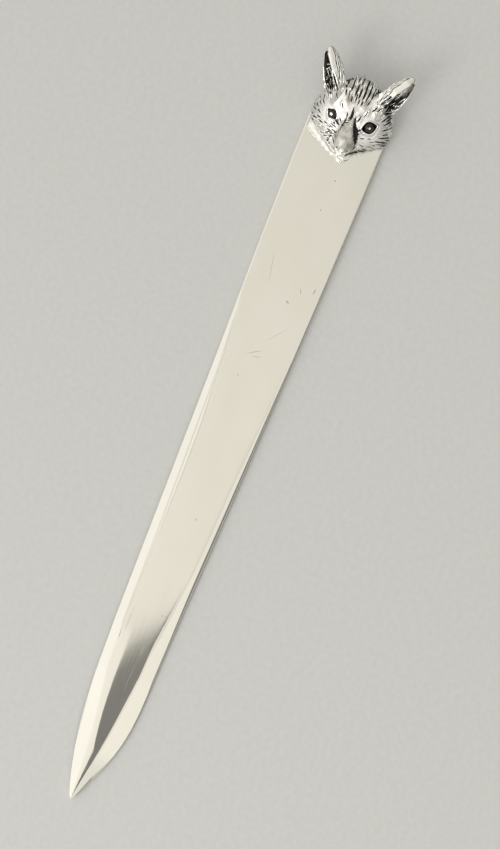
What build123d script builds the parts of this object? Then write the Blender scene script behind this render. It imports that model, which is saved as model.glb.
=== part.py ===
"""Letter opener: a bevelled silver blade with a cast fox head soldered over its butt end.

Millimetres, +Z up. The blade lies flat on its back face, with the point toward -X and the fox
head toward +X. Left and right are as seen from above with the point toward the viewer, so left
is +Y. The origin is on the back face, halfway along the overall length.
"""
import os
from math import cos, radians, sin, sqrt

from build123d import *

# Overall length from point to ear tips, and how far the ears stand out past the butt end
OVERALL_LENGTH = 160.0
EAR_REACH = 10.0

# Blade: thickness, then widths and their distances from the point
BLADE_THICKNESS = 1.5
BUTT_WIDTH = 17.2
FLARE_WIDTH = 15.5
FLARE_FROM_POINT = 102.0
WAIST_WIDTH = 13.1
WAIST_FROM_POINT = 49.5
SHOULDER_WIDTH = 11.8
SHOULDER_FROM_POINT = 27.0
NEAR_POINT_WIDTH = 8.2
NEAR_POINT_FROM_POINT = 10.5

# Point: blunted width, sideways offset left by hand filing, and angle of each edge to the length
POINT_WIDTH = 0.8
POINT_OFFSET = 0.6
POINT_HALF_ANGLE = 24.0

# Edge bevels: facet width, land left at the edge, and where the facet starts and is full
BEVEL_WIDTH = 2.2
EDGE_LAND = 0.5
BEVEL_START_FROM_POINT = 108.0
BEVEL_FULL_FROM_POINT = 82.0

# Fox head: lap on the blade, reach past the butt end, breadth of cheeks, height above the blade
HEAD_LAP = 8.2
HEAD_TAIL = 8.0
HEAD_WIDTH = 17.6
HEAD_HEIGHT = 7.4
FOOT_HEIGHT = 0.8

# The head sits a little right of the middle line
HEAD_OFFSET = 0.35

# Snout: breadth of the muzzle, nose and nostrils, and its turn to the right about the stop
MUZZLE_WIDTH = 4.5
NOSE_WIDTH = 2.1
NOSTRIL_DIAMETER = 0.5
NOSTRIL_DEPTH = 0.35
SNOUT_TURN_ANGLE = 5.0

# Ears: tip to tip, height of the tips above the blade, and width, depth, back wall and rim of the leaf
EAR_SPREAD = 18.5
EAR_TIP_HEIGHT = 9.5
EAR_WIDTH = 5.4
EAR_DEPTH = 3.8
EAR_WALL = 1.0
EAR_RIM = 0.4

# Eyes: each is a dark dome in a drilled seat between almond lids
EYE_SPACING = 8.3
EYE_FROM_CHIN = 6.9
EYE_DIAMETER = 2.0
EYE_SEAT_DEPTH = 0.7
EYE_CLEARANCE = 0.03
LID_LENGTH = 3.2
LID_DEPTH = 0.2

# Brow ridges, and the solder bead along the foot of the head
BROW_WIDTH = 2.2
BROW_DEPTH = 1.1
SOLDER_LEG = 0.5

# Places along the length that follow from the sizes above
BLADE_LENGTH = OVERALL_LENGTH - EAR_REACH
POINT_X = -OVERALL_LENGTH / 2
BUTT_X = POINT_X + BLADE_LENGTH
CHIN_X = BUTT_X - HEAD_LAP
HEAD_LENGTH = HEAD_LAP + HEAD_TAIL

# Stations of the bevel as shares of its length, from ahead of its start to the point
BEVEL_STATIONS = [1.15, 1.0, 0.88, 0.76, 0.60, 0.45, 0.33, 0.25, 0.18, 0.12, 0.07, 0.03, 0.0]

# Mask of the face: share of head length, of half width, of height, and fullness of the cheek
MASK_SHARES = [
    (0.04, 0.15, 0.08, 0.35),
    (0.17, 0.50, 0.24, 0.35),
    (0.33, 0.94, 0.47, 0.29),
    (0.45, 1.00, 0.66, 0.33),
    (0.60, 1.00, 0.87, 0.41),
    (0.76, 0.88, 1.00, 0.51),
    (0.89, 0.64, 0.95, 0.59),
    (0.97, 0.40, 0.72, 0.59),
    (1.00, 0.16, 0.42, 0.55),
]

# Muzzle: share of head length, of muzzle half width, then half depth and centre height
MUZZLE_SHARES = [
    (0.54, 0.36, 0.13, 0.60),
    (0.34, 0.76, 0.24, 0.50),
    (0.16, 1.00, 0.25, 0.41),
    (0.05, 0.72, 0.17, 0.37),
    (0.01, 0.36, 0.07, 0.36),
]

# Lower jaw, in the same terms as the muzzle
JAW_SHARES = [
    (0.34, 1.06, 0.20, 0.18),
    (0.12, 0.88, 0.17, 0.18),
    (0.03, 0.62, 0.12, 0.18),
    (0.00, 0.34, 0.06, 0.17),
]

# Nose pad: place as shares of head length and height, and its nostrils as shares of its width
NOSE_PLACE_SHARES = (0.05, 0.43)
NOSTRIL_SHARES = (0.24, 0.04)

# Stop between the eyes, where the snout turns, as a share of head length
STOP_SHARE = 0.44

# Brow ridge from the stop to the ear: share of head length, of half width, and of its section
BROW_SHARES = [
    (0.44, 0.07, 0.55),
    (0.58, 0.28, 1.10),
    (0.76, 0.53, 0.95),
]

# Ear: its root as shares of head length, half width and height, and the way its cup faces
EAR_ROOT_SHARES = (0.70, 0.62, 0.69)
EAR_FACING = (-0.40, 0.82, 0.40)

# Ear leaf and the cup in it: share of the way to the tip, then of the full width there
EAR_LEAF_SHARES = [(-0.38, 0.36), (0.08, 1.00), (0.52, 0.90), (0.84, 0.52), (1.00, 0.18)]
EAR_CUP_SHARES = [(-0.05, 0.40), (0.12, 1.00), (0.52, 0.90), (0.90, 0.32)]


def from_chin(share):
    """X at a share of the head's length, measured from the chin."""
    return CHIN_X + share * HEAD_LENGTH


def above_blade(share):
    """Z at a share of the head's height, measured from the blade's face."""
    return BLADE_THICKNESS + share * HEAD_HEIGHT


def upright(x, height=0.0):
    """Plane across the length at x, with its own X along +Y and its own Y up."""
    return Plane(origin=(x, 0, height), x_dir=(0, 1, 0), z_dir=(1, 0, 0))


def both_sides(piece):
    """A left piece and its mirror image on the right."""
    return [piece, mirror(piece, about=Plane.XZ)]


def off_middle(piece):
    """A piece of the head moved right from the middle line to where the head sits."""
    return Pos(0, -HEAD_OFFSET, 0) * piece


def blade_edge(side):
    """Plan curve of one blade edge from butt to point; side is 1 for left and -1 for right."""
    slope = radians(POINT_HALF_ANGLE)
    return Spline(
        (BUTT_X, side * BUTT_WIDTH / 2),
        (POINT_X + FLARE_FROM_POINT, side * FLARE_WIDTH / 2),
        (POINT_X + WAIST_FROM_POINT, side * WAIST_WIDTH / 2),
        (POINT_X + SHOULDER_FROM_POINT, side * SHOULDER_WIDTH / 2),
        (POINT_X + NEAR_POINT_FROM_POINT, side * NEAR_POINT_WIDTH / 2),
        (POINT_X, POINT_OFFSET + side * POINT_WIDTH / 2),
        tangents=[(-1, 0), (-cos(slope), -side * sin(slope))],
    )


def blade_plan():
    """Plan outline of the blade as a face."""
    left = blade_edge(1)
    right = blade_edge(-1)
    return make_face([left, Line(left @ 1, right @ 1), right, Line(right @ 0, left @ 0)])


def half_width_at(curve, x):
    """Distance of a blade edge from the middle line at a station, found by halving its run."""
    low, high = 0.0, 1.0
    for _ in range(40):
        middle = (low + high) / 2
        if (curve @ middle).X > x:
            low = middle
        else:
            high = middle
    return abs((curve @ high).Y)


def bevel_section(side, x, rim, ridge, reach):
    """Triangle above one bevel facet, which falls from the ridge line outward to the edge."""
    drop = (BLADE_THICKNESS - EDGE_LAND) / 2
    top = BLADE_THICKNESS
    inner = (side * (ridge - reach / 2), top + drop / 2)
    outer = (side * (ridge + 2 * reach), top - 2 * drop)
    above = (side * (rim + 3 * BEVEL_WIDTH), top + BLADE_THICKNESS)
    return upright(x) * make_face(Polyline(inner, outer, above, close=True))


def bevel_cutter(side):
    """Material ground off the top of one edge, from the start of the bevel round to the point."""
    curve = blade_edge(side)
    tip = side * POINT_OFFSET
    shoulder_ridge = SHOULDER_WIDTH / 2 - BEVEL_WIDTH
    run_in_length = BEVEL_START_FROM_POINT - BEVEL_FULL_FROM_POINT
    sections = []
    for share in BEVEL_STATIONS:
        distance = share * BEVEL_START_FROM_POINT
        if share > 0:
            rim = half_width_at(curve, POINT_X + distance)
        else:
            rim = tip + POINT_WIDTH / 2
        if distance > SHOULDER_FROM_POINT:
            run_in = max(0.0, (distance - BEVEL_FULL_FROM_POINT) / run_in_length)
            ridge = rim - BEVEL_WIDTH * (1 - run_in)
            reach = BEVEL_WIDTH
        else:
            ridge = tip + (shoulder_ridge - tip) * distance / SHOULDER_FROM_POINT
            reach = rim - ridge
        sections.append(bevel_section(side, POINT_X + distance, rim, ridge, reach))
    sections.append(bevel_section(side, POINT_X - POINT_WIDTH, rim, ridge, reach))
    return loft(sections)


def make_blade():
    """Flat strip with both edges bevelled on both faces."""
    blade = extrude(blade_plan(), BLADE_THICKNESS)
    middle = Plane.XY.offset(BLADE_THICKNESS / 2)
    for side in (1, -1):
        cutter = bevel_cutter(side)
        blade = blade - cutter - mirror(cutter, about=middle)
    return blade


def mask_section(share, breadth, height, fullness):
    """Upright slice of the face mask: straight foot, then a rounded top from cheek to cheek."""
    half = breadth * HEAD_WIDTH / 2
    foot = BLADE_THICKNESS + FOOT_HEIGHT
    crown = foot + height * (HEAD_HEIGHT - FOOT_HEIGHT)
    cheek = (0.95 * half, foot + fullness * (crown - foot))
    left = [(half, foot), cheek, (0.52 * half, crown), (0, crown)]
    right = [(-y, z) for y, z in reversed(left)]
    low = -BLADE_THICKNESS
    walls = Polyline((-half, foot), (-half, low), (half, low), (half, foot))
    return upright(from_chin(share)) * make_face([Bezier(*left), Bezier(*right), *walls.edges()])


def snout_solid(table):
    """Solid through upright ovals along the head, for the muzzle and the lower jaw."""
    sections = []
    for share, breadth, depth, centre in table:
        plane = upright(from_chin(share), above_blade(centre))
        sections.append(plane * Ellipse(breadth * MUZZLE_WIDTH / 2, depth * HEAD_HEIGHT))
    return loft(sections, ruled=True)


def surface_hit(body, x, y):
    """Highest point of a body above a place in plan, with the upward normal there."""
    plumb = Axis((x, y, 0), (0, 0, 1))
    hits = body.shell().find_intersection_points(plumb)
    place, normal = max(hits, key=lambda hit: hit[0].Z)
    return place, normal if normal.Z > 0 else -normal


def make_nose():
    """Nose pad with two drilled nostrils."""
    front = NOSE_WIDTH / 2
    pad = Sphere(front)
    sideways, upward = [share * NOSE_WIDTH for share in NOSTRIL_SHARES]
    drill = Plane(origin=(-front, sideways, upward), z_dir=(1, 0, 0))
    nostril = extrude(drill * Circle(NOSTRIL_DIAMETER / 2), 2 * NOSTRIL_DEPTH)
    for hole in both_sides(nostril):
        pad -= hole
    along, height = NOSE_PLACE_SHARES
    return Pos(from_chin(along), 0, above_blade(height)) * pad


def make_snout():
    """Muzzle, lower jaw and nose, turned together about the stop."""
    snout = snout_solid(MUZZLE_SHARES) + snout_solid(JAW_SHARES) + make_nose()
    stop = from_chin(STOP_SHARE)
    return Pos(stop, 0, 0) * Rot(0, 0, SNOUT_TURN_ANGLE) * Pos(-stop, 0, 0) * snout


def make_brow(mask):
    """Left brow ridge, from the stop between the eyes to the foot of the ear."""
    places = []
    for share, breadth, _ in BROW_SHARES:
        place, normal = surface_hit(mask, from_chin(share), breadth * HEAD_WIDTH / 2)
        places.append(place - normal * (BROW_DEPTH / 4))
    heading = places[-1] - places[0]
    sections = []
    for place, (_, _, size) in zip(places, BROW_SHARES):
        plane = Plane(origin=place, x_dir=heading.cross(normal), z_dir=heading)
        sections.append(plane * Ellipse(size * BROW_WIDTH / 2, size * BROW_DEPTH / 2))
    return loft(sections, ruled=True)


def ear_frame():
    """Root and tip of the left ear, with the directions along it and out of its cup."""
    along_share, breadth, height = EAR_ROOT_SHARES
    root = Vector(from_chin(along_share), breadth * HEAD_WIDTH / 2, above_blade(height))
    tip = Vector(BUTT_X + EAR_REACH, EAR_SPREAD / 2, BLADE_THICKNESS + EAR_TIP_HEIGHT)
    along = (tip - root).normalized()
    facing = Vector(*EAR_FACING)
    facing = (facing - along * facing.dot(along)).normalized()
    return root, tip, along, facing


def ear_cup():
    """Radius of the ear's cup, and how far it lies forward of the leaf, from the wall and the rim."""
    half = EAR_WIDTH / 2
    back = half - EAR_WALL
    front = EAR_DEPTH - half
    mouth = sqrt(half**2 - front**2) - EAR_RIM
    forward = (front**2 + mouth**2 - back**2) / (2 * (back + front))
    return back + forward, forward


def turned(rows):
    """Solid turned round the Z axis, from rows of radius and height."""
    low, high = rows[0][1], rows[-1][1]
    return revolve(Plane.XZ * make_face(Polyline((0, low), *rows, (0, high), close=True)), Axis.Z)


def make_ear():
    """Left ear: a pointed leaf turned round its length, hollowed by a cup and cut flat at the rims."""
    root, tip, along, facing = ear_frame()
    length = (tip - root).length
    radius, forward = ear_cup()
    leaf = turned([(breadth * EAR_WIDTH / 2, share * length) for share, breadth in EAR_LEAF_SHARES])
    cup = turned([(breadth * radius, share * length) for share, breadth in EAR_CUP_SHARES])
    front = Pos(EAR_DEPTH + EAR_WIDTH / 2, 0, 0) * Box(2 * EAR_WIDTH, 2 * EAR_WIDTH, 4 * length)
    return Plane(origin=root, x_dir=facing, z_dir=along) * (leaf - Pos(forward, 0, 0) * cup - front)


def eye_plane(face):
    """Plane on the face at the left eye, with its normal out of the socket."""
    place, normal = surface_hit(face, CHIN_X + EYE_FROM_CHIN, EYE_SPACING / 2)
    slant = Vector(0.54, 0.84, 0)
    return Plane(origin=place, x_dir=slant - normal * slant.dot(normal), z_dir=normal)


def make_socket(plane):
    """Almond opening between the lids and the drilled seat for the left eye."""
    half = LID_LENGTH / 2
    gape = 0.62 * EYE_DIAMETER
    upper = ThreePointArc((-half, 0), (0, gape), (half, 0))
    lower = ThreePointArc((half, 0), (0, -gape), (-half, 0))
    floor = plane.offset(-LID_DEPTH)
    lids = extrude(floor * make_face([upper, lower]), EYE_DIAMETER, dir=plane.z_dir)
    seat = Circle(EYE_DIAMETER / 2 + EYE_CLEARANCE)
    seat = extrude(plane.offset(-EYE_SEAT_DEPTH) * seat, EYE_DIAMETER, dir=plane.z_dir)
    return lids + seat


def make_eye(plane):
    """Left eye: a dome on a short round foot, standing on the floor of its seat."""
    radius = EYE_DIAMETER / 2
    girdle = 0.6 * EYE_SEAT_DEPTH
    crown = girdle + 0.75 * radius
    foot = Polyline((0, crown), (0, 0), (radius, 0), (radius, girdle))
    dome = TangentArc((0, crown), (radius, girdle), tangent=(1, 0))
    profile = Plane.XZ * make_face([*foot.edges(), dome])
    return plane.offset(-EYE_SEAT_DEPTH) * revolve(profile, Axis.Z)


def make_head():
    """Cast fox head, and the plane of its left eye, before the head is moved off the middle line."""
    mask = loft([mask_section(*row) for row in MASK_SHARES], ruled=True)
    plane = eye_plane(mask)
    head = mask + make_snout()
    for piece in both_sides(make_brow(mask)) + both_sides(make_ear()):
        head = head + piece
    for socket in both_sides(make_socket(plane)):
        head = head - socket
    room = 2 * OVERALL_LENGTH
    below = Pos(0, 0, -room / 2) * Box(room, room, room)
    over_blade = Pos(BUTT_X - room / 2, 0, BLADE_THICKNESS - room / 2) * Box(room, room, room)
    return head - below - over_blade, plane


def solder_section(x, half, leg):
    """Upright slice of the solder bead's outside: a low block with sloping ends."""
    low = BLADE_THICKNESS
    left = [(half + SOLDER_LEG, low), (half, low + leg)]
    right = [(-y, z) for y, z in reversed(left)]
    return upright(x) * make_face(Polyline(*left, *right, close=True))


def make_solder(head):
    """Bead of solder in the corner between the blade's face and the foot of the head."""
    stations = [row for row in MASK_SHARES if from_chin(row[0]) < BUTT_X + SOLDER_LEG]
    rows = [(from_chin(share), breadth * HEAD_WIDTH / 2) for share, breadth, _, _ in stations]
    chin_x, chin_half = rows[0]
    sections = [solder_section(chin_x - SOLDER_LEG, chin_half / 2, SOLDER_LEG / 2)]
    for x, half in rows:
        sections.append(solder_section(x, half, SOLDER_LEG))
    over_blade = extrude(blade_plan(), BLADE_THICKNESS + 2 * SOLDER_LEG)
    return (off_middle(loft(sections, ruled=True)) & over_blade) - head


def build():
    """All the pieces by node name."""
    head, plane = make_head()
    head = off_middle(head)
    left_eye, right_eye = [off_middle(eye) for eye in both_sides(make_eye(plane))]
    return {
        "blade": make_blade(),
        "fox_head": head,
        "left_eye": left_eye,
        "right_eye": right_eye,
        "solder_fillet": make_solder(head),
    }


os.makedirs("parts", exist_ok=True)
for name, piece in build().items():
    export_step(piece, f"parts/{name}.step")
    print(name, len(piece.solids()), "solid", round(piece.volume, 2), "mm3")
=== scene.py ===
"""Silver letter opener with a cast fox head: sculpted detail, finish, light and camera."""
import math
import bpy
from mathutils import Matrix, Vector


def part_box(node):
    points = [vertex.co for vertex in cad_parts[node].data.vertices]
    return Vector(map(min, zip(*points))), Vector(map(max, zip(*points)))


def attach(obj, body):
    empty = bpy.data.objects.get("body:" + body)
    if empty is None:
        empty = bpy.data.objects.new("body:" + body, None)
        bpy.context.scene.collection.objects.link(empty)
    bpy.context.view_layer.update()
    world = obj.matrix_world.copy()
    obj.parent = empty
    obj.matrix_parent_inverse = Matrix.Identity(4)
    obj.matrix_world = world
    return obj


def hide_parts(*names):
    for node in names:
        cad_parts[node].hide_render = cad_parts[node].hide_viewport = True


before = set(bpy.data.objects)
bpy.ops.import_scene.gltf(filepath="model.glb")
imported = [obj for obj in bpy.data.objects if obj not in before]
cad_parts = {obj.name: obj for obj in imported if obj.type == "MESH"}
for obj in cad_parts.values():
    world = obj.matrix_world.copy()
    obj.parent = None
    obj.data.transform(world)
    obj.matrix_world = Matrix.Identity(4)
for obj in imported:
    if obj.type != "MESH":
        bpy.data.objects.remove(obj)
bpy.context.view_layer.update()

from types import SimpleNamespace

import bpy
import numpy as np
from mathutils import Matrix, Vector
from mathutils.bvhtree import BVHTree
from mathutils.kdtree import KDTree

# Sculpting is done in millimetres, and the finished pieces are in metres
MM = 0.001
SEED = 11

# Camera of the photograph: image size and focal length in pixels, then place and axes in the row frame
IMAGE_SIZE = (500, 849)
FOCAL_PIXELS = 1300
SENSOR_MM = 36.0
CAMERA_PLACE = (-20.38, -19.59, 266.54)
CAMERA_FORWARD = (0.08741, 0.05675, -0.99455)
CAMERA_RIGHT = (0.37484, -0.92687, -0.01994)

# Blade: bevel widths by distance from the point, on the left, the right and the back, and their slope
LEFT_BEVEL = [(27, 2.0), (60, 1.9), (80, 1.65), (91, 1.55), (95, 1.35), (102, 0.87), (108.5, 0.29)]
RIGHT_BEVEL = [(27, 2.8), (34, 2.7), (42, 2.1), (50, 1.6), (70, 1.35), (85, 0.9), (98, 0.25)]
BACK_BEVEL = [(27, 2.2), (82, 2.2), (108, 0.15)]
BEVEL_SLOPE = 0.24

# Shallow second facet inside the left bevel at the point: its width, slope and where it fades out
INNER_WIDTH = 4.0
INNER_SLOPE = 0.07
INNER_FADE = (38.0, 30.0)

# Softness of a ridge, as a share of its facet, round of the point and break of the edges
RIDGE_SOFTNESS = 0.05
POINT_ROUND = 0.6
EDGE_BREAK = 0.06

# Shares of the half width: the most that a bevel takes, and the least between it and the second facet
BEVEL_MOST = 0.97
STRIP_LEAST = 0.02

# Steep outer facet along the right edge, by distance from the point, its slope and its most of the bevel
RIGHT_STEEP = [(27, 0.6), (62, 0.6), (85, 0.4), (98, EDGE_BREAK)]
STEEP_SLOPE = 0.95
STEEP_MOST = 0.3

# Steeper round at the rim of that facet, its share of the facet, and the least upright wall below it
ROUND_SLOPE = 1.7
ROUND_SHARE = 0.25
LEAST_WALL = 0.12

# Second ground line beside each ridge: its gap, by distance from the point on the left, minus is outward
LINE_GAP = [(45, 0.3), (62, 0.6), (71, 0.85), (80, 0.9), (86, 0.5), (91, 0.3)]
EVEN_GAP = -0.2

# Flanks of the ground lines, toward the rim and toward the middle, on the left and on the other edges
LEFT_FLANKS = (0.2, 0.05)
EVEN_FLANKS = (0.08, 0.08)

# Depth of the lines, its share on the right, and the distances and bevel widths over which they begin
LINE_DEPTH = 0.09
RIGHT_LINE_SHARE = 0.4
LINE_FADE = (30.0, 42.0)
LINE_BEVEL = (0.5, 1.2)

# Where the blade is cut along its length, near the point and beyond: first and last distance and number
NEAR_CUTS = (0.9, 12, 38)
FAR_CUTS = (12.5, 149.98, 230)

# Where the blade is cut across: shares of the steep facet, the bevel, the strip beside it, flat and wall
RIM_CUTS = np.array([0.0, 0.12, 0.25, 0.31, 0.6, 0.92, 1.0, 1.08])
FACET_CUTS = np.array([0.1, 0.3, 0.5, 0.7, 0.9])
BESIDE_CUTS = np.array([0.03, 0.1, 0.3, 0.6, 0.85, 0.95, 1.0])
FLAT_CUTS = np.array([0.03, 0.1, 0.3, 0.65])
WALL_CUTS = (0.85, 0.5, 0.15)

# Marks of use on the flat: place, turn in degrees, half length, half breadth and strength, and their gain
MARKS = [
    (35.1, 3.7, 11.4, 4.2, 0.07, 0.35),
    (29.4, -2.1, 64.7, 0.55, 0.12, 0.9),
    (32.5, -3.8, 26.6, 0.75, 0.09, 0.6),
    (33.5, -6.5, -6.7, 0.75, 0.12, 0.8),
    (17.2, 0.3, -57.2, 1.9, 0.09, 0.5),
    (16.4, -0.4, -77.5, 1.3, 0.08, 0.4),
    (22.2, -2.7, -39.6, 3.0, 0.07, 0.3),
    (11.5, 1.7, 0.0, 0.22, 0.18, 0.4),
    (56.9, -1.8, 0.0, 0.22, 0.2, 0.6),
    (50.0, -1.3, 0.0, 0.17, 0.15, 0.8),
    (-19.3, -1.5, 0.0, 0.4, 0.25, 0.25),
    (-39.8, -2.6, 50.0, 0.3, 0.12, 0.5),
    (-39.6, -3.4, 0.0, 0.2, 0.14, 0.4),
]
MARK_GAIN = 1.6

# Head: voxel of the fine copy, rounds of smoothing and how many rounds the normals serve
HEAD_VOXEL = 0.085
RELAX_ROUNDS = 80
NORMAL_ROUNDS = 5

# Places on the head, with the muzzle turned a little to the right
HEAD_MIDDLE_Y = -0.35
STOP_X = 69.0
SNOUT_SLOPE = math.tan(math.radians(5.0))
EAR_ROOT = (72.9, 5.5, 6.6)
EAR_FACING = (-0.40, 0.82, 0.40)
LID_SLANT = (0.54, 0.84, 0.0)

# Where the fur spreads from, and from where on and how sharply it turns down the back of the head
FUR_SOURCE = (67.2, HEAD_MIDDLE_Y, 2.5)
FUR_BACK_X = 76.0
FUR_BACK_TURN = 6.0

# Half length and half gape of the lids, left and right: the left eye is a little narrowed
LID_SIZES = {1: (1.35, 0.92), -1: (1.65, 1.15)}

# Smooth brow from the stop to the ear, as X and distance from the middle, and its half breadth
BROW_LINE = [(69.3, 0.9, 0.62), (71.4, 2.7, 0.62), (74.0, 4.6, 0.62)]

# Lines on the snout, as X, distance from its middle line and height
BRIDGE_SIDE = [(69.0, 1.15, 7.0), (67.8, 1.6, 6.6), (66.6, 2.0, 5.8), (65.4, 2.3, 5.0), (64.2, 2.4, 4.2)]
MOUTH = [(61.7, 0.15, 3.3), (62.3, 0.95, 3.3), (63.2, 1.7, 3.2), (64.4, 2.2, 3.1), (65.4, 2.6, 3.1)]
NOSE_WING = [(62.1, 0.95, 4.6), (62.6, 1.15, 4.75), (63.0, 1.05, 5.1)]
NOSTRIL = [(61.3, 0.42, 4.4), (61.5, 0.6, 4.5), (61.8, 0.72, 4.7)]
CLEFT = [(61.4, 0.0, 4.3), (61.3, 0.0, 3.8), (61.5, 0.0, 3.4)]

# Places in plan and half breadths on the mask of strokes, of patina and painted shade, and of a patch that
# stays bare
# Patina in the groove beside the right of the bridge, widened into painted shade of the muzzle's shaded right
# side
RIGHT_GROOVE_AND_SHADE = [(69.0, -1.25, 0.24), (68.4, -1.5, 0.1), (67.8, -1.85, 0.32), (66.8, -2.3, 0.58),
                (65.6, -2.6, 0.5), (64.5, -2.8, 0.14)]
LEFT_STROKES = [(68.2, 0.7, 0.5), (66.6, 2.0, 0.75), (65.2, 2.7, 0.75), (63.8, 3.3, 0.5)]
RIGHT_BARE = [(66.9, -3.9, 0.7), (66.0, -4.6, 0.7)]
# Painted shade under the right jaw, along the foot from the chin to the cheek
RIGHT_JAW_SHADE = [(62.4, -2.4, 0.7), (63.2, -3.6, 0.8), (64.6, -5.4, 0.6)]
# Darkening at the outer foot of the right ear
RIGHT_EAR_FOOT = [(74.4, -6.4, 0.45), (73.0, -7.1, 0.75), (71.6, -7.9, 0.35)]

# Painted shadow in the corner between the crown and each ear, as X and distance from the middle, and its half
# breadth
CROWN_CORNER_SHADOW = [(75.6, 3.9, 0.75), (77.3, 3.4, 0.75)]

# Share of each eye's radius that is rubbed bright, sized as a painted highlight and larger on the left eye
LEFT_CROWN_HIGHLIGHT = 0.30
RIGHT_CROWN_HIGHLIGHT = 0.22

# Solder at the foot of the head: how far it reaches forward and climbs, by the distance to the left
SOLDER_REACH = [(-8.4, 0.4), (-5.6, 0.5), (-3.2, 0.75), (-2.2, 0.9), (-1.1, 0.6), (0.2, 0.6), (1.6, 0.9),
                (3.6, 1.2), (5.3, 1.45), (7.8, 1.8), (8.4, 1.8)]
SOLDER_CLIMB = [(-8.4, 0.35), (-4.0, 0.45), (0.0, 0.6), (2.0, 0.8), (5.0, 0.9), (8.4, 0.7)]

# Half span of the solder, thickness of its toe, and how deep it sinks into the blade and into the head
SOLDER_SPAN = 8.1
SOLDER_TOE = 0.03
SOLDER_SINK = 0.004
SOLDER_HOLD = 0.3

# Colours of the finishes, as linear values
SILVER = (0.90, 0.875, 0.82, 1.0)
HAZED_SILVER = (0.865, 0.84, 0.775, 1.0)
MARK_GREY = (0.14, 0.135, 0.12, 1.0)
CAST_SILVER = (0.90, 0.885, 0.85, 1.0)
HALF_OXIDE = (0.34, 0.32, 0.29, 1.0)
OXIDE = (0.020, 0.018, 0.016, 1.0)
SOLDER_SILVER = (0.84, 0.82, 0.77, 1.0)
PITTED_SOLDER = (0.55, 0.53, 0.49, 1.0)
EYE_BLACK = (0.012, 0.011, 0.010, 1.0)
FLOOR_GREY = (0.64, 0.64, 0.63, 1.0)
BACKDROP_GREY = (0.48, 0.48, 0.465, 1.0)

# Half size of the floor, its drop below the object, and the corners of the card that the flat mirrors
FLOOR_REACH = 20000.0
FLOOR_DROP = 0.02
CARD_CORNERS = [(-240, 4, 600), (-62, 4, 600), (-146, 85, 600), (-240, 85, 600)]

# Room from underfoot to overhead, as heights and colours, and the side on which it is brighter
ROOM_STOPS = [
    (0.0, (0.26, 0.26, 0.255, 1)),
    (0.22, (0.48, 0.48, 0.465, 1)),
    (0.60, (0.80, 0.79, 0.755, 1)),
    (0.88, (0.86, 0.845, 0.785, 1)),
    (1.0, (0.85, 0.83, 0.75, 1)),
]
ROOM_LEAN = (-0.41, 0.38, 0.0)

# Lamps: name, place, aim, size, radiance and colour
LAMPS = [
    ("Key", (-431, 200, 400), (40, 0, 0), (260, 260), 4.8, (1.0, 0.99, 0.97)),
    ("Right_Strip", (-40, -330, 640), (0, 0, 0), (460, 180), 0.18, (1.0, 0.96, 0.84)),
]


def put(name, points, faces):
    """New smooth mesh object from points in millimetres."""
    mesh = bpy.data.meshes.new(name)
    mesh.from_pydata((np.asarray(points) * MM).tolist(), [], [list(face) for face in faces])
    mesh.shade_smooth()
    mesh.update()
    piece = bpy.data.objects.new(name, mesh)
    bpy.context.scene.collection.objects.link(piece)
    return piece


def put_layer(piece, name, values):
    """Value at each point of a piece, for its material to read."""
    layer = piece.data.attributes.new(name, "FLOAT", "POINT")
    layer.data.foreach_set("value", values.astype(np.float32))


def seat(piece, node, material):
    """Gives a finished piece its material, puts it under the root body and hides the CAD node that it stands
    for.
    """
    piece.data.materials.append(material)
    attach(piece, "root")
    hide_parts(node)


def smooth_step(low, high, value):
    """Smooth rise from 0 at low to 1 at high."""
    share = np.clip((value - low) / (high - low), 0.0, 1.0)
    return share * share * (3.0 - 2.0 * share)


def square_to(way, axis):
    """Unit direction of what is left of a way once its part along an axis is taken off."""
    across = way - axis * (way @ axis)
    return across / np.linalg.norm(across)


def plan_share(points, line):
    """Distance in plan of each point from a line of places, as a share of the line's half breadth there."""
    best = np.full(len(points), np.inf)
    for start, stop in zip(line[:-1], line[1:]):
        run = np.subtract(stop[:2], start[:2])
        along = np.clip((points[:, :2] - start[:2]) @ run / (run @ run), 0.0, 1.0)
        gap = np.linalg.norm(points[:, :2] - start[:2] - along[:, None] * run, axis=1)
        best = np.minimum(best, gap / (start[2] + along * (stop[2] - start[2])))
    return best


def tree_of(node):
    """Search tree of a CAD node's mesh in metres."""
    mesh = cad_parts[node].data
    return BVHTree.FromPolygons([v.co for v in mesh.vertices], [f.vertices for f in mesh.polygons])


def ring_quads(first, rings, count):
    """Quads between rings of so many points, which follow each other from a first point on."""
    quads = []
    for start in range(first, first + (rings - 1) * count, count):
        for j in range(count):
            k = (j + 1) % count
            quads.append((start + j, start + k, start + count + k, start + count + j))
    return quads


def tube_faces(rings):
    """Faces of a tube through rings of points, capped at both ends."""
    count = len(rings[0])
    last = (len(rings) - 1) * count
    caps = [tuple(range(count))[::-1], tuple(range(last, last + count))]
    return caps + ring_quads(0, len(rings), count)


# Blade

def edge_reach(tree, x, side, height):
    """Sideways place of one edge of the blade at a station, in millimetres."""
    start = Vector((x, side * 40.0, height)) * MM
    hit = tree.ray_cast(start, Vector((0, -side, 0)))[0]
    return hit.y / MM


def bevel_width(distance, half, shoulder_half, table):
    """Width of a bevel; its ridge runs straight from the shoulder to the point."""
    shoulder, shoulder_width = table[0]
    if distance > shoulder:
        width = np.interp(distance, *zip(*table))
    else:
        width = half - (shoulder_half - shoulder_width) * distance / shoulder
    return min(max(width, 2 * EDGE_BREAK), BEVEL_MOST * half)


def facet_fall(inset, width, slope):
    """Fall of a face at distances in from the rim, for a facet with a softened ridge."""
    rise = 1.0 - inset / width
    return slope * width * 0.5 * (rise + np.sqrt(rise * rise + RIDGE_SOFTNESS ** 2))


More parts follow.
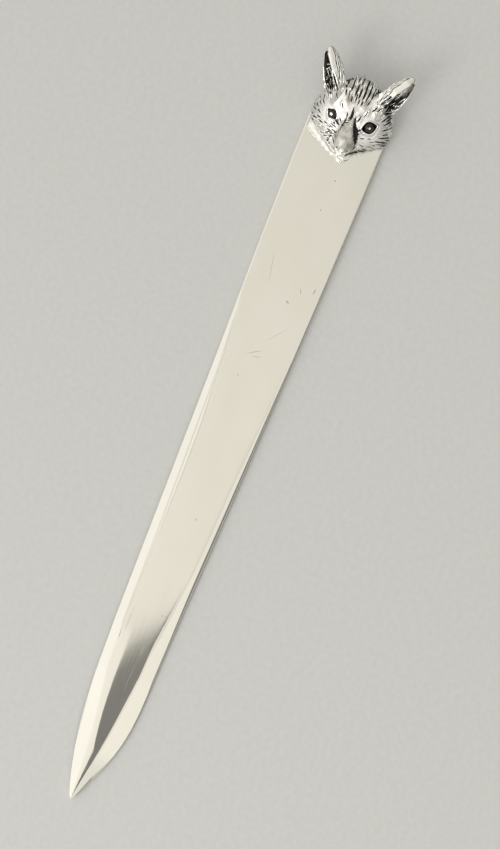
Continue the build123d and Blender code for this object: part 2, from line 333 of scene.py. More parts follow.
def bevel_profile(half, width, inner, inner_slope, steep, gap, line_depth, flanks):
    """Distances in from the rim toward the middle of the blade, and the fall of the face at each."""
    steep = min(steep, STEEP_MOST * width)

    # Both lines are held clear of each other, of the rim and of the second facet's ridge
    first, second = sorted((width, np.clip(width + gap, 0.7 * width, 0.5 * (width + inner))))
    fit = min(1.0, 0.12 * width / flanks[0], 0.4 * (inner - second) / flanks[0])
    before, after = fit * flanks[0], fit * flanks[1]
    steps = np.array([-before, -0.5 * before, 0.0, 0.5 * after, after])
    rim = steep * RIM_CUTS
    facet = rim[-1] + FACET_CUTS * (first - before - rim[-1])
    beside = second + after + BESIDE_CUTS * (inner - second - after)
    flat = inner + FLAT_CUTS * (half - inner)
    inset = np.concatenate([rim, facet, first + steps, second + steps, beside, flat])
    fall = facet_fall(inset, width, BEVEL_SLOPE) + facet_fall(inset, inner, inner_slope)
    for line in (first, second):
        fall += line_depth * np.interp(inset, (line - before, line, line + after), (0, 1, 0))
    round_drop = ROUND_SHARE * steep * (ROUND_SLOPE - BEVEL_SLOPE)
    steep_drop = (1 - ROUND_SHARE) * steep * (STEEP_SLOPE - BEVEL_SLOPE)
    fall += np.interp(inset, (0, ROUND_SHARE * steep, steep), (round_drop + steep_drop, steep_drop, 0))
    return inset, fall


def blade_stations():
    """Distances from the point at which the blade is cut, close together at the point."""
    tip = POINT_ROUND * (1 - np.cos(np.linspace(0.12, math.pi / 2, 9)))
    return np.concatenate([tip, np.linspace(*NEAR_CUTS), np.linspace(*FAR_CUTS)])


def blade_ring(x, distance, left, right, thick, bevels):
    """Ring of points round the blade at a station; bevels are keyed 1 left, -1 right and 0 back."""
    centre = (left + right) / 2
    half = (left - right) / 2
    spare = thick - BEVEL_SLOPE * (bevels[-1] + bevels[0]) - LEAST_WALL
    most = spare / (STEEP_SLOPE + ROUND_SHARE * (ROUND_SLOPE - STEEP_SLOPE) - BEVEL_SLOPE)
    steep = max(min(np.interp(distance, *zip(*RIGHT_STEEP)), most), EDGE_BREAK)
    gap = np.interp(distance, *zip(*LINE_GAP))
    line = LINE_DEPTH * smooth_step(*LINE_FADE, distance)
    slope = INNER_SLOPE * smooth_step(*INNER_FADE, distance)
    forms = {
        1: (slope, EDGE_BREAK, gap, line, LEFT_FLANKS),
        -1: (0.0, steep, EVEN_GAP, RIGHT_LINE_SHARE * line, EVEN_FLANKS),
        0: (0.0, EDGE_BREAK, EVEN_GAP, 0.0, EVEN_FLANKS),
    }
    profiles = {}
    for side, width in bevels.items():
        inner_slope, edge, apart, depth, flanks = forms[side]
        inner = max(min(INNER_WIDTH, BEVEL_MOST * half), width + STRIP_LEAST * half)
        depth *= smooth_step(*LINE_BEVEL, width)
        profiles[side] = bevel_profile(half, width, inner, inner_slope, edge, apart, depth, flanks)
    ring = []
    for side, order in ((1, 1), (-1, -1)):
        inset, fall = profiles[side]
        ring += [(x, centre + side * (half - i), thick - f) for i, f in zip(inset, fall)][::order]
    for side, order in ((-1, 1), (1, -1)):
        top = thick - profiles[side][1][0]
        inset, fall = profiles[0]
        wall = [(x, centre + side * half, fall[0] + (top - fall[0]) * k) for k in WALL_CUTS]
        ring += (wall + [(x, centre + side * (half - i), f) for i, f in zip(inset, fall)])[::order]
    return ring


def make_blade():
    """Blade with ground facets, softened ridges and a rounded point."""
    low, high = [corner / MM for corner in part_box("blade")]
    thick = high.z - low.z
    tree = tree_of("blade")
    stations = blade_stations()
    places = [low.x + max(distance, 0.02) for distance in stations]
    left = np.array([edge_reach(tree, x, 1, thick / 2) for x in places])
    right = np.array([edge_reach(tree, x, -1, thick / 2) for x in places])
    inside = np.clip(stations / POINT_ROUND, 0, 1)
    half = (left - right) / 2 * np.sqrt(1 - (1 - inside) ** 2)
    centre = (left + right) / 2
    shoulder_half = np.interp(LEFT_BEVEL[0][0], stations, half)
    tables = {1: LEFT_BEVEL, -1: RIGHT_BEVEL, 0: BACK_BEVEL}
    rings = []
    for distance, middle, reach in zip(stations, centre, half):
        widths = {side: bevel_width(distance, reach, shoulder_half, table) for side, table in tables.items()}
        rings.append(blade_ring(low.x + distance, distance, middle + reach, middle - reach, thick, widths))
    return put("Blade_Ground", np.array(rings).reshape(-1, 3), tube_faces(rings))


# Head

def voxel_copy(node, voxel):
    """Points, quads and edges, in millimetres, of an even fine copy of a CAD node."""
    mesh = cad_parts[node].data.copy()
    mesh.transform(Matrix.Scale(1 / MM, 4))
    rough = bpy.data.objects.new("rough_copy", mesh)
    bpy.context.scene.collection.objects.link(rough)
    even = rough.modifiers.new("even", "REMESH")
    even.mode = "VOXEL"
    even.voxel_size = voxel
    fine = bpy.data.meshes.new_from_object(rough.evaluated_get(bpy.context.evaluated_depsgraph_get()))
    points = np.empty(len(fine.vertices) * 3)
    fine.vertices.foreach_get("co", points)
    corners = np.empty(len(fine.loops), dtype=np.int32)
    fine.loops.foreach_get("vertex_index", corners)
    edges = np.empty(len(fine.edges) * 2, dtype=np.int32)
    fine.edges.foreach_get("vertices", edges)
    bpy.data.objects.remove(rough)
    bpy.data.meshes.remove(mesh)
    bpy.data.meshes.remove(fine)
    return points.reshape(-1, 3), corners.reshape(-1, 4), edges.reshape(-1, 2)


def neighbour_mean(values, edges):
    """Mean of each point's neighbours along the edges."""
    count = len(values)
    total = np.zeros_like(values)
    for axis in range(values.shape[1]):
        total[:, axis] += np.bincount(edges[:, 0], values[edges[:, 1], axis], count)
        total[:, axis] += np.bincount(edges[:, 1], values[edges[:, 0], axis], count)
    return total / np.bincount(edges.ravel(), minlength=count)[:, None]


def point_normals(points, quads):
    """Unit normals at the points of a quad mesh."""
    across = points[quads[:, 2]] - points[quads[:, 0]]
    along = points[quads[:, 3]] - points[quads[:, 1]]
    facing = np.cross(across, along)
    normals = np.zeros_like(points)
    for corner in range(4):
        for axis in range(3):
            normals[:, axis] += np.bincount(quads[:, corner], facing[:, axis], len(points))
    return normals / np.linalg.norm(normals, axis=1)[:, None]


def relax(points, quads, edges, rounds, hollow, proud):
    """Smooths a mesh; hollow and proud are how far a round moves points in dips and on ridges."""
    for step in range(rounds):
        if step % NORMAL_ROUNDS == 0:
            normals = point_normals(points, quads)
        move = neighbour_mean(points, edges) - points
        dips = np.sum(move * normals, axis=1) > 0
        points = points + move * np.where(dips, hollow, proud)[:, None]
    return points


def eye_frame(node):
    """Foot centre, axis, radius and height of an eye, in millimetres, from its CAD mesh."""
    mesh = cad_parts[node].data
    spread = np.zeros((3, 3))
    for face in mesh.polygons:
        normal = np.array(face.normal)
        spread += face.area * np.outer(normal, normal)
    axis = np.linalg.eigh(spread)[1][:, 2]
    axis *= np.sign(axis[2])
    points = np.array([vertex.co for vertex in mesh.vertices]) / MM
    height = points @ axis
    foot = points[height < height.min() + 0.02].mean(axis=0)
    radius = np.linalg.norm(np.cross(points - foot, axis), axis=1).max()
    return foot, axis, radius, height.max() - height.min()


def snout_middle(x):
    """Middle line of the turned snout at a station."""
    return HEAD_MIDDLE_Y - SNOUT_SLOPE * np.maximum(STOP_X - x, 0.0)


def both_sides(line):
    """A line given by distances from the head's middle, on the left and on the right."""
    return [[(x, HEAD_MIDDLE_Y + side * y, breadth) for x, y, breadth in line] for side in (1, -1)]


def fur_lie(place):
    """Lie of the fur at a place, away from the stop and down the back of the head."""
    down = FUR_BACK_TURN * max(place.x - FUR_BACK_X, 0.0)
    return place - Vector(FUR_SOURCE) - Vector((0, 0, down))


class Sculpt:
    """Fine copy of the head, carved with strokes and grooves."""

    def __init__(self):
        points, self.quads, self.edges = voxel_copy("fox_head", HEAD_VOXEL)
        self.eyes = [eye_frame("left_eye"), eye_frame("right_eye")]
        self.ears = ear_lines(points)
        socket = np.ones(len(points))
        for foot, _, radius, _ in self.eyes:
            socket *= smooth_step(1.3 * radius, 1.9 * radius, np.linalg.norm(points - foot, axis=1))
        leaves = [smooth_step(0.05, 0.25, share) * (off < 3.4) for share, off, _ in self.on_ears(points)]
        thin = np.max(leaves, axis=0)
        hollow = 0.12 + 0.38 * socket * (1 - 0.7 * thin)
        points = relax(points, self.quads, self.edges, RELAX_ROUNDS, hollow, 0.38 - 0.24 * thin)
        self.points = points
        self.normals = point_normals(points, self.quads)
        self.tree = BVHTree.FromPolygons(points.tolist(), self.quads.tolist())
        self.near = KDTree(len(points))
        for index, point in enumerate(points):
            self.near.insert(point, index)
        self.near.balance()
        self.groove, self.raised, self.patina_and_shade, self.bare = np.zeros((4, len(points)))
        self.drawn = np.zeros((len(points), 3))

    def on_ears(self, points):
        """For each ear, the share of the way along it, the distance off its axis and the offset itself."""
        rows = []
        for root, tip, _ in self.ears:
            line = tip - root
            share = (points - root) @ line / (line @ line)
            offset = points - root - share[:, None] * line
            same_side = (points[:, 1] - HEAD_MIDDLE_Y) * (root[1] - HEAD_MIDDLE_Y) > 0
            rows.append((share, np.where(same_side, np.linalg.norm(offset, axis=1), 99.0), offset))
        return rows

    def trace(self, start, length, heading, steps=8):
        """Path along the surface from a place, following a heading function."""
        place, normal = self.tree.find_nearest(Vector(start))[:2]
        path = [place]
        for _ in range(steps):
            way = Vector(heading(place))
            way = (way - normal * way.dot(normal)).normalized()
            place, normal = self.tree.find_nearest(place + way * (length / steps))[:2]
            path.append(place)
        return np.array(path)

    def on_surface(self, places):
        """Places moved to the nearest points of the surface."""
        return np.array([self.tree.find_nearest(Vector(place))[0] for place in places])

    def around(self, path, width):
        """Points near a path, with their distance from it and their share of the way along it."""
        middle = path.mean(axis=0)
        reach = np.linalg.norm(path - middle, axis=1).max() + width
        index = np.array([item[1] for item in self.near.find_range(Vector(middle), reach)], dtype=int)
        spots = self.points[index]
        best = np.full(len(index), 1e9)
        along = np.zeros(len(index))
        pieces = len(path) - 1
        for k in range(pieces):
            run = path[k + 1] - path[k]
            share = np.clip((spots - path[k]) @ run / max(run @ run, 1e-9), 0.0, 1.0)
            gap = np.linalg.norm(spots - path[k] - share[:, None] * run, axis=1)
            closer = gap < best
            best[closer] = gap[closer]
            along[closer] = (k + share[closer]) / pieces
        return index, best, along

    def cut(self, path, width, depth, lip=0.25, patina_and_shade=1.0, taper=0.5):
        """Groove along a path, tapered to both ends, with a small raised lip each side."""
        index, gap, along = self.around(path, 2.4 * width)
        strength = np.sin(np.pi * np.clip(along, 0.02, 0.98)) ** taper
        across = gap / (width * (0.45 + 0.55 * strength))
        dip = depth * strength * np.clip(1 - across ** 2, 0, None) ** 1.5
        rise = lip * depth * strength * np.exp(-((across - 1.5) / 0.45) ** 2)
        self.groove[index] = np.maximum(self.groove[index], dip)
        self.raised[index] = np.maximum(self.raised[index], rise)
        self.patina_and_shade[index] = np.maximum(self.patina_and_shade[index], patina_and_shade * smooth_step(0.25, 0.8, dip / depth))

    def lift(self, path, width, height):
        """Raised lock of fur along a path, thick in the middle and pointed at its end."""
        index, gap, along = self.around(path, 1.2 * width)
        strength = smooth_step(0.0, 0.45, along) * smooth_step(1.0, 0.75, along)
        across = gap / (width * (0.25 + 0.75 * smooth_step(1.0, 0.35, along)))
        rise = height * strength * np.clip(1 - across ** 2, 0, None)
        self.raised[index] = np.maximum(self.raised[index], rise)
        self.bare[index] = np.maximum(self.bare[index], smooth_step(0.2, 0.6, rise / height))

    def bead(self, path, width, height):
        """Raised bright rim along a path, even from end to end."""
        index, gap, _ = self.around(path, 1.1 * width)
        rise = height * np.clip(1 - (gap / width) ** 2, 0, None)
        self.raised[index] = np.maximum(self.raised[index], rise)
        self.bare[index] = np.maximum(self.bare[index], smooth_step(0.1, 0.45, rise / height))

    def draw_out(self, path, way, width, reach):
        """End of a path drawn out a way to a pointed tip."""
        index, gap, along = self.around(path, width)
        pull = reach * smooth_step(0.3, 1.0, along) * np.clip(1 - gap / width, 0, None)
        self.drawn[index] = np.where((pull > np.linalg.norm(self.drawn[index], axis=1))[:, None],
                                     pull[:, None] * way, self.drawn[index])

    def blacken(self, chosen, amount):
        """Patina and painted shade left on the chosen points, by an amount for each or for all."""
        self.patina_and_shade = np.maximum(self.patina_and_shade, np.where(chosen, amount, 0.0))

    def scatter(self, chosen, spacing, length, heading, random):
        """Seeds spread over the chosen points, spaced closer across the fur than along it."""
        order = random.permutation(np.flatnonzero(chosen))
        kept = []
        for index in order:
            place = self.points[index]
            way = np.array(heading(Vector(place)))
            way -= self.normals[index] * (way @ self.normals[index])
            way /= max(np.linalg.norm(way), 1e-9)
            if kept:
                gap = np.array(kept) - place
                along = np.abs(np.sum(gap * way, axis=1))
                across = np.sqrt(np.maximum(np.sum(gap * gap, axis=1) - along ** 2, 0))
                if np.any((across / spacing) ** 2 + (along / (0.8 * length)) ** 2 < 1):
                    continue
            kept.append(place)
        return kept

    def finish(self):
        """Carved points, and how dark the patina and painted shade are at each."""
        rise = self.raised * np.exp(-self.groove / 0.05)
        points = self.points + self.normals * (rise - self.groove)[:, None] + self.drawn
        points = points + 0.3 * (neighbour_mean(points, self.edges) - points)
        points[:, 2] = np.maximum(points[:, 2], 0.0)
        wide = points
        for _ in range(40):
            wide = wide + 0.5 * (neighbour_mean(wide, self.edges) - wide)
        hollow = np.sum((wide - points) * point_normals(points, self.quads), axis=1)
        oxide_and_painted_shade = np.maximum(self.patina_and_shade * (1 - self.bare), smooth_step(0.03, 0.14, hollow))
        return points, np.clip(oxide_and_painted_shade * smooth_step(-0.10, -0.02, hollow), 0, 1)


def ear_lines(points):
    """Root, tip and facing of each ear."""
    lines = []
    for side in (1, -1):
        half = points[points[:, 1] * side > 2]
        tip = half[half[:, 0].argmax()]
        root = np.multiply(EAR_ROOT, (1, side, 1)) + (0, HEAD_MIDDLE_Y, 0)
        along = (tip - root) / np.linalg.norm(tip - root)
        lines.append((root, tip, square_to(np.multiply(EAR_FACING, (1, side, 1)), along)))
    return lines


def carve_lids(sculpt):
    """Almond lids round each eye, with a crease above and a tear duct toward the nose."""
    for side, (foot, axis, _, _) in zip((1, -1), sculpt.eyes):
        half_length, half_gape = LID_SIZES[side]
        slant = square_to(np.multiply(LID_SLANT, (1, side, 1)), axis)
        upper = np.cross(axis, slant) * side
        offset = sculpt.points - foot
        u = offset @ slant / half_length
        v = offset @ upper / half_gape
        close = (np.linalg.norm(offset, axis=1) < 3.2) & (sculpt.normals @ axis > -0.2)
        edge = np.abs(v) - (1 - np.abs(u) ** 1.8)
        gap = np.where(close, edge * 0.8, 9.0)
        sculpt.groove = np.maximum(sculpt.groove, 0.30 * smooth_step(0.02, -0.22, gap))
        sculpt.patina_and_shade = np.maximum(sculpt.patina_and_shade, smooth_step(0.08, -0.10, gap))
        sculpt.raised = np.maximum(sculpt.raised, 0.20 * np.exp(-((gap - 0.20) / 0.17) ** 2))
        crease = np.exp(-((gap - 0.62) / 0.09) ** 2) * smooth_step(0.0, 0.3, v)
        sculpt.groove = np.maximum(sculpt.groove, 0.10 * crease)
        inner = foot + axis * 0.8 - slant * 0.9 * half_length
        run = -slant + np.array([-0.35, 0.0, -0.2])
        sculpt.cut(sculpt.on_surface([inner + run * k for k in np.linspace(0, 1.2, 6)]), 0.26, 0.26)


def carve_snout(sculpt):
    """Grooves beside the bridge, the mouth, the cleft under the nose and the whisker pits."""
    def cut_line(line, side, width, depth, **form):
        """Cut along a line of the snout on one side."""
        path = [(x, snout_middle(x) + side * y, z) for x, y, z in line]
        sculpt.cut(sculpt.on_surface(path), width, depth, **form)

    for side, width, depth in ((1, 0.50, 0.30), (-1, 0.85, 0.50)):
        cut_line(BRIDGE_SIDE, side, width, depth, lip=0.1)
        cut_line(MOUTH, side, 0.18, 0.24)
        cut_line(NOSE_WING, side, 0.22, 0.22)
        cut_line(NOSTRIL, side, 0.22, 0.22, taper=0.3)
        for row in range(3):
            for column in range(3 + row % 2):
                x = 62.9 + 0.55 * column + 0.2 * row
                spot = (x, snout_middle(x) + side * (2.0 + 0.05 * row), 4.6 - 0.45 * row)
                pit = sculpt.on_surface([spot, (spot[0] + 0.12, spot[1], spot[2])])
                sculpt.cut(pit, 0.11, 0.10, lip=0.3, taper=0.1)
    cut_line(CLEFT, 1, 0.12, 0.16)


def carve_ears(sculpt, random):
    """Dark cups with a bright rim and light hairs across them, and fur down the inner side of each ear."""
    for (root, tip, facing), (share, off, offset) in zip(sculpt.ears, sculpt.on_ears(sculpt.points)):
        side = np.sign(root[1])
        line = tip - root
        along = line / np.linalg.norm(line)
        lower = np.cross(along, facing)
        lower *= -np.sign(lower[2])
        on_leaf = (share > 0.05) & (off < 3.4)
        inward = np.sum(offset * sculpt.normals, axis=1) < -0.1 * off
        cup = smooth_step(0.95, 0.45, offset @ facing)
        if side < 0:
            cup *= 0.3 + 0.7 * smooth_step(0.62, 0.36, share)
        sculpt.blacken(on_leaf & inward & (share < 0.97), 0.95 * cup)

        # Hairs across the cup, more of them on the left, and lengthwise hairs on the right
        starts = np.linspace(0.14, 0.66, 8) if side > 0 else np.linspace(0.10, 0.32, 3)
        for start in starts:
            radius = 2.2 * np.interp(start, (0.1, 0.5, 0.9), (1.0, 0.9, 0.45))
            rim = root + line * start + lower * radius + facing * 0.8
            way = -lower * random.uniform(0.7, 1.0) - along * random.uniform(-0.6, 0.7) - facing * 0.5
            path = sculpt.trace(rim, random.uniform(1.3, 2.2), lambda place: way)
            sculpt.lift(path, random.uniform(0.20, 0.27), random.uniform(0.16, 0.24))
        if side < 0:
            for across in np.linspace(-1.3, 1.5, 9):
                place = root + line * random.uniform(0.30, 0.42) + lower * across - facing * 0.4
                path = sculpt.trace(place, random.uniform(2.6, 4.0), lambda place: along)
                sculpt.lift(path, random.uniform(0.16, 0.22), random.uniform(0.12, 0.2))

        # Bright rim along the lower edge
        stations = np.linspace(0.08, 0.97, 16)
        reach = np.interp(stations, (0.1, 0.5, 0.84, 1.0), (2.5, 2.3, 1.35, 0.5))
        lip = [root + line * s + lower * r + facing * min(1.0, r) for s, r in zip(stations, reach)]
        sculpt.bead(sculpt.on_surface(lip), 0.36, 0.22)

        # Fur on the side toward the crown
        medial = offset @ np.array([0.0, -side, 0.0])
        breadth = 2.7 * np.interp(share, (0.08, 0.52, 0.84, 1.0), (1.0, 0.9, 0.52, 0.18))
        inner = on_leaf & ~inward & (share > 0.08) & (share < 0.88) & (medial > 0.5 * breadth)
        for place in sculpt.scatter(inner, 0.44, 1.5, lambda place: along, random):
            path = sculpt.trace(place, random.uniform(1.2, 2.0), lambda place: along)
            sculpt.cut(path, random.uniform(0.14, 0.19), random.uniform(0.18, 0.26), lip=0.35)


def fur_zones(sculpt):
    """Points of each zone of the fur, the patina and the painted shade, and their distance from the nearer
    eye.
    """
    points, normals = sculpt.points, sculpt.normals
    x, y, z = points.T
    beside = np.abs(y - HEAD_MIDDLE_Y)
    leaves = [(share > 0.12) & (off < 3.2) & (z > 6.3) for share, off, _ in sculpt.on_ears(points)]
    on_ear = np.any(leaves, axis=0)
    eye_gap = np.min([np.linalg.norm(points - foot, axis=1) for foot, _, _, _ in sculpt.eyes], axis=0)
    snout = (x < 68.2) & (np.abs(y - snout_middle(x)) < 2.8) & (z > 2.6)
    free = (eye_gap > 2.2) & ~snout & ~on_ear & (z > 2.2) & (x > 63.5)
    crown = free & (x > 70.2) & (beside < 5.2) & (normals[:, 2] > -0.2)
    back = free & (x > 73.0) & ~crown
    cheek = free & ~crown & ~back
    brow = np.zeros(len(points), dtype=bool)
    for line in both_sides(BROW_LINE):
        brow |= (plan_share(points, line) < 1.0) & (z > 5.5)
    forehead = (beside < 2.4) & (x > 69.2) & (z > 5.5)
    return SimpleNamespace(
        on_ear=on_ear,
        eye_gap=eye_gap,
        beside=beside,
        crown=crown & ~brow,
        back=back,
        cheek=cheek & ~brow & ~forehead & (plan_share(points, RIGHT_BARE) > 1.0),
        bridge=snout & (normals[:, 2] > 0.3),
        strokes=(plan_share(points, LEFT_STROKES) < 1.0) & (normals[:, 2] > 0.1) & (z > 2.6),
        groove=(plan_share(points, RIGHT_GROOVE_AND_SHADE) < 1.4) & (normals[:, 2] > 0.0) & (z > 2.4),
    )


def carve_locks(sculpt, zones, random):
    """Locks over the crown and the back of the head, and pointed tufts at the crown's back edge."""
    x, _, z = sculpt.points.T
    chosen = zones.crown & (x > 74.0) | zones.back & (z > 5.0)
    for place in sculpt.scatter(chosen, 0.7, 2.0, fur_lie, random):
        path = sculpt.trace(place, random.uniform(1.4, 2.4), fur_lie)
        sculpt.lift(path, random.uniform(0.28, 0.38), random.uniform(0.18, 0.34))
    sculpt.bare[:] = np.where(zones.crown | zones.back, 0.0, sculpt.bare)
    for across in np.arange(-3.3, 3.4, 0.52):
        place = (75.4 - 0.09 * across ** 2, HEAD_MIDDLE_Y + across + random.uniform(-0.1, 0.1), 9.5)
        path = sculpt.trace(place, random.uniform(1.3, 1.9), fur_lie)
        sculpt.lift(path, random.uniform(0.19, 0.25), random.uniform(0.3, 0.42))
        way = np.array([0.97, 0.1 * across, 0.12])
        way /= np.linalg.norm(way)
        sculpt.draw_out(path, way, random.uniform(0.40, 0.50), random.uniform(0.9, 1.5))


def carve_strokes(sculpt, zones, random):
    """Strokes of fur over the mask and the back of the head."""
    x, y, _ = sculpt.points.T
    crown, back, cheek, eye_gap = zones.crown, zones.back, zones.cheek, zones.eye_gap

    # Points, spacing, length, least and most width, least and most depth, and oxide of each set
    sets = (
        (crown & (x > 71.3) & (x < 72.5), 0.64, 1.7, (0.14, 0.18), (0.22, 0.28), 1.0),
        (crown & (x > 72.5), 0.76, 2.8, (0.21, 0.28), (0.34, 0.46), 1.0),
        (crown & (x > 71.3), 0.48, 1.6, (0.07, 0.09), (0.06, 0.10), 0.6),
        (back, 0.80, 2.4, (0.15, 0.19), (0.22, 0.32), 1.0),
        (cheek & (eye_gap > 2.5) & (x > 66.8) & (y < 0), 0.56, 2.0, (0.15, 0.21), (0.26, 0.36), 1.0),
        (cheek & (eye_gap > 2.6) & (x > 66.8) & (y > 0), 0.78, 1.5, (0.14, 0.19), (0.20, 0.28), 0.9),
        (back & (zones.beside > 5.2), 0.60, 1.4, (0.12, 0.16), (0.16, 0.24), 1.0),
        (zones.strokes, 0.42, 0.9, (0.14, 0.20), (0.16, 0.24), 1.0),
        (cheek & (x <= 66.8), 0.66, 1.2, (0.11, 0.15), (0.14, 0.22), 0.9),
        (cheek, 0.44, 1.0, (0.055, 0.075), (0.05, 0.08), 0.4),
        (zones.bridge, 0.30, 1.8, (0.05, 0.06), (0.025, 0.04), 0.22),
    )
    for chosen, spacing, length, widths, depths, patina_and_shade in sets:
        for place in sculpt.scatter(chosen, spacing, length, fur_lie, random):
            path = sculpt.trace(place, length * random.uniform(0.7, 1.25), fur_lie)
            sculpt.cut(path, random.uniform(*widths), random.uniform(*depths), lip=0.35, patina_and_shade=patina_and_shade)
    for place in sculpt.scatter(zones.groove, 0.55, 1.2, fur_lie, random):
        path = sculpt.trace(place, random.uniform(0.6, 1.1), fur_lie)
        sculpt.lift(path, random.uniform(0.08, 0.12), random.uniform(0.08, 0.12))


def leave_oxide_and_paint_shade(sculpt, zones):
    """Patina on the bridge, forehead and foot seam, painted shadow in the crown's corners and on its back
    edge, patina and painted shade beside the muzzle, painted shade under the right jaw, and darkening at the
    foot of the right ear.
    """
    points, upward = sculpt.points, sculpt.normals[:, 2]
    x, y, z = points.T
    # Painted shadow in the corners between the crown and the ears
    for line in both_sides(CROWN_CORNER_SHADOW):
        corner = smooth_step(1.3, 0.6, plan_share(points, line))
        sculpt.blacken(~zones.on_ear, corner * smooth_step(4.6, 6.4, z))
    # Painted shade on the crown's back edge, darker where the surface turns down away from overhead
    edge = zones.crown & (x > 75.4) & (upward > 0.05)
    sculpt.blacken(edge, 0.9 * smooth_step(0.72, 0.5, upward) * smooth_step(4.8, 6.6, z))
    sculpt.blacken(zones.bridge, 0.27)
    dulled = smooth_step(3.4, 1.6, zones.beside) * smooth_step(68.6, 69.6, x) * smooth_step(74.5, 72.5, x)
    sculpt.blacken(~zones.on_ear & (z > 5.5), 0.29 * dulled)
    # Patina in the right groove widened into painted shade of the muzzle's right side, and darkening at the
    # foot of the right ear, with ragged edges
    ragged = 0.16 * np.sin(7.3 * x + 2.1 * y) + 0.14 * np.sin(15.0 * x - 9.0 * y)
    sculpt.blacken(zones.groove, smooth_step(1.15, 0.75, plan_share(points, RIGHT_GROOVE_AND_SHADE) + ragged))
    sculpt.blacken(z > 4.2, 0.95 * smooth_step(1.15, 0.75, plan_share(points, RIGHT_EAR_FOOT) + ragged))
    # Painted shade under the right jaw
    sculpt.blacken(z < 4.0, 0.9 * smooth_step(1.3, 0.6, plan_share(points, RIGHT_JAW_SHADE)))
    sculpt.blacken((x < 69.5) & (upward > -0.5), 0.6 * smooth_step(2.25, 1.9, z))


def make_head():
    """Cast head with lids, snout lines and fur, and its patina and painted shade as a point attribute."""
    sculpt = Sculpt()
    random = np.random.default_rng(SEED)
    zones = fur_zones(sculpt)
    carve_lids(sculpt)
    carve_snout(sculpt)
    carve_locks(sculpt, zones, random)
    carve_strokes(sculpt, zones, random)
    leave_oxide_and_paint_shade(sculpt, zones)
    carve_ears(sculpt, random)
    points, oxide_and_painted_shade = sculpt.finish()
    head = put("Head_Cast", points, sculpt.quads)
    put_layer(head, "oxide_and_painted_shade", oxide_and_painted_shade)
    return head


# Eyes and solder

def make_eye(node, name, crown):
    """Domed eye on its foot, turned on a lathe round the axis of its seat, with a share of its crown rubbed
    bright and sized as a painted highlight.
    """
    foot, axis, radius, height = eye_frame(node)
    girdle = 0.36 * height
    profile = [(0.6 * radius, 0.0), (radius, 0.0), (radius, 0.5 * girdle)]
    for angle in np.linspace(0, math.pi / 2, 36)[:-1]:
        ring = 1 - 0.02 * math.exp(-((math.cos(angle) - 0.52) / 0.06) ** 2)
        profile.append((radius * math.cos(angle) * ring, girdle + (height - girdle) * math.sin(angle) * ring))
    across = np.cross(axis, (1.0, 0.0, 0.0))
    across /= np.linalg.norm(across)
    other = np.cross(axis, across)
    count = 64
    turns = np.linspace(0, 2 * math.pi, count, endpoint=False)
    spokes = np.outer(np.cos(turns), across) + np.outer(np.sin(turns), other)
    points = [foot]
    for reach, rise in profile:
        points += list(foot + spokes * reach + axis * rise)
    points.append(foot + axis * height)
    faces = [(0, 1 + (k + 1) % count, 1 + k) for k in range(count)]
    faces += ring_quads(1, len(profile), count)
    last = 1 + (len(profile) - 1) * count
    faces += [(last + k, last + (k + 1) % count, last + count) for k in range(count)]
    eye = put(name, points, faces)
    share = np.linalg.norm(np.cross(np.array(points) - foot, axis), axis=1) / radius
    # Bright crown, partly rubbed metal and partly a painted highlight
    put_layer(eye, "worn_and_highlight", smooth_step(crown + 0.06, crown - 0.04, share))
    return eye


def make_solder():
    """Solder drawn along the foot of the head, hollow faced, broader on the left, thin at its toe."""
    low, high = [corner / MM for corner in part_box("blade")]
    thick = high.z - low.z
    head = tree_of("fox_head")

    def front(y, z):
        """Foremost place of the head at a distance to the left and a height."""
        start = Vector((40.0, y, z)) * MM
        hit = head.ray_cast(start, Vector((1, 0, 0)))[0]
        return hit.x / MM

    rings = []
    for y in np.linspace(-SOLDER_SPAN, SOLDER_SPAN, 190):
        reach = np.interp(y, *zip(*SOLDER_REACH)) + 0.05 * math.sin(2.3 * y) + 0.04 * math.sin(5.1 * y + 1)
        climb = np.interp(y, *zip(*SOLDER_CLIMB)) + 0.03 * math.sin(3.7 * y)
        foot = front(y, thick + 0.06)
        top = max(front(y, thick + climb), foot - 0.2)
        ring = [(x, y, thick - SOLDER_SINK) for x in (foot + SOLDER_HOLD, foot - reach)]
        for share in np.linspace(0.0, 1.0, 12):
            x = foot - reach * (1 - share) + (top - foot + 0.06) * share
            ring.append((x, y, thick + SOLDER_TOE + (climb - SOLDER_TOE) * share ** 1.7))
        ring.append((top + SOLDER_HOLD, y, thick + climb))
        rings.append(ring)
    return put("Solder_Bead", np.array(rings).reshape(-1, 3), tube_faces(rings))


# Materials

def feed(node, inputs):
    """Sets a node's inputs to values, or links them to other nodes' outputs."""
    for key, value in inputs.items():
        if isinstance(value, bpy.types.NodeSocket):
            node.id_data.links.new(value, node.inputs[key])
        else:
            node.inputs[key].default_value = value


def node_adder(tree):
    """Function that adds a node to a tree, with its inputs and settings."""
    def add(kind, inputs=None, **settings):
        node = tree.nodes.new(kind)
        for key, value in settings.items():
            setattr(node, key, value)
        feed(node, inputs or {})
        return node

    return add


def new_material(name):
    """Material, its shader and a function that adds nodes to it."""
    material = bpy.data.materials.new(name)
    material.use_nodes = True
    tree = material.node_tree
    return material, tree.nodes["Principled BSDF"], node_adder(tree)


def noise(add, size, detail, rough, scale=(1.0, 1.0, 1.0)):
    """Noise over the object, drawn out by a scale along each axis."""
    place = add("ShaderNodeTexCoord")
    mapping = add("ShaderNodeMapping", {"Vector": place.outputs["Object"], "Scale": scale})
    inputs = {"Vector": mapping.outputs["Vector"], "Scale": size, "Detail": detail, "Roughness": rough}
    return add("ShaderNodeTexNoise", inputs).outputs["Fac"]


def combine(add, operation, first, second):
    """Result of an operation on two values."""
    return add("ShaderNodeMath", {0: first, 1: second}, operation=operation).outputs[0]


def bump(add, strength, distance, height):
    """Normal of a surface that a height makes uneven."""
    inputs = {"Strength": strength, "Distance": distance, "Height": height}
    return add("ShaderNodeBump", inputs).outputs["Normal"]


